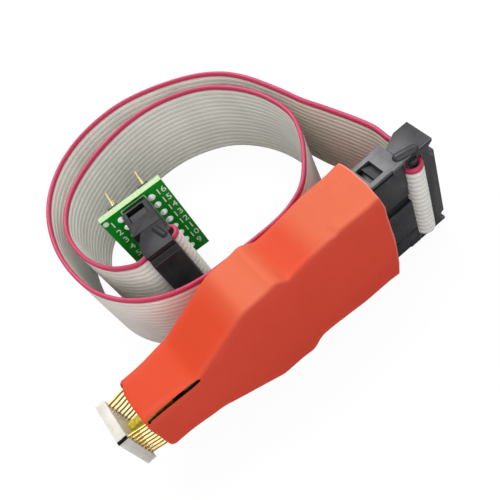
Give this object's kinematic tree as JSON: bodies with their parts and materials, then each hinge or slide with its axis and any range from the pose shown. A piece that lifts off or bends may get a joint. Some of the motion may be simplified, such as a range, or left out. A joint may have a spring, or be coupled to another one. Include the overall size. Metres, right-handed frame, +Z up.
{
  "type": "ic test clip",
  "caption": "SOIC test clip: two rows of spring contacts in a guide frame, heat-shrink body, flat ribbon with crimped sockets and a plug-in DIP adapter board.",
  "frame": {"origin": "centre of the underside of the clip, which stands on its long edge, at the bottom of its bounding box", "axes": "+X along the clip towards its contacts, +Y through its thickness, away from the ribbon loop, +Z up along the clip's width"},
  "size_m": [0.0738, 0.0718, 0.0272],
  "materials": {
    "heat_shrink": "satin orange-red heat-shrink tube",
    "frame_plastic": "natural white moulding, slightly translucent",
    "black_mark": "flat black",
    "amber_plastic": "amber moulding",
    "black_plastic": "satin black moulding",
    "clip_board": "glass-epoxy board under solder mask",
    "adapter_green": "glass-epoxy board under green solder mask, white legend",
    "gold_plate": "gold plating",
    "solder": "bright solder",
    "ribbon": "grey PVC ribbon with a pink first conductor"
  },
  "bodies": {
    "clip": {"sleeve": "heat_shrink", "guide_frame": "frame_plastic", "pin_one_mark": "black_mark", "centre_post": "amber_plastic", "front_spacer": "black_plastic", "near_board": "clip_board", "far_board": "clip_board", "clip_header_base": "black_plastic", "clip_header_pins": "gold_plate", "header_solder": "solder", "near_contact_tails": "gold_plate", "far_contact_tails": "gold_plate", "tail_solder": "solder"},
    "near_row": {"near_contacts": "gold_plate"},
    "far_row": {"far_contacts": "gold_plate"},
    "lead": {"clip_socket_body": "black_plastic", "clip_socket_contacts": "gold_plate", "clip_socket_cover": "black_plastic", "clip_strain_relief": "black_plastic", "clip_ribbon_fold": "ribbon", "ribbon_cable": "ribbon", "adapter_ribbon_fold": "ribbon", "adapter_socket_body": "black_plastic", "adapter_socket_contacts": "gold_plate", "adapter_socket_cover": "black_plastic", "adapter_strain_relief": "black_plastic"},
    "adapter": {"adapter_board": "adapter_green", "adapter_header_base": "black_plastic", "adapter_header_pins": "gold_plate", "adapter_solder": "solder", "left_dip_strip": "black_plastic", "right_dip_strip": "black_plastic", "left_dip_pins": "gold_plate", "right_dip_pins": "gold_plate"}
  },
  "joints": [
    {"name": "near_flex", "type": "hinge", "parent": "clip", "child": "near_row", "pos_m": [0.0253, 0.00426, 0.01358], "axis": [0, 0, 1], "range_deg": [0, 1.3], "stiffness_Nm_per_rad": 0.05},
    {"name": "far_flex", "type": "hinge", "parent": "clip", "child": "far_row", "pos_m": [0.0253, -0.00426, 0.01358], "axis": [0, 0, 1], "range_deg": [-1.3, 0], "stiffness_Nm_per_rad": 0.05},
    {"name": "socket_pull", "type": "slide", "parent": "clip", "child": "lead", "axis": [-1, 0, 0], "range_m": [0, 0.0065]},
    {"name": "adapter_pull", "type": "slide", "parent": "lead", "child": "adapter", "axis": [-0.1067, -0.9918, -0.0697], "range_m": [0, 0.0065]}
  ],
  "couplings": [
    {"joint": "far_flex", "follows": "near_flex", "ratio": -1}
  ]
}
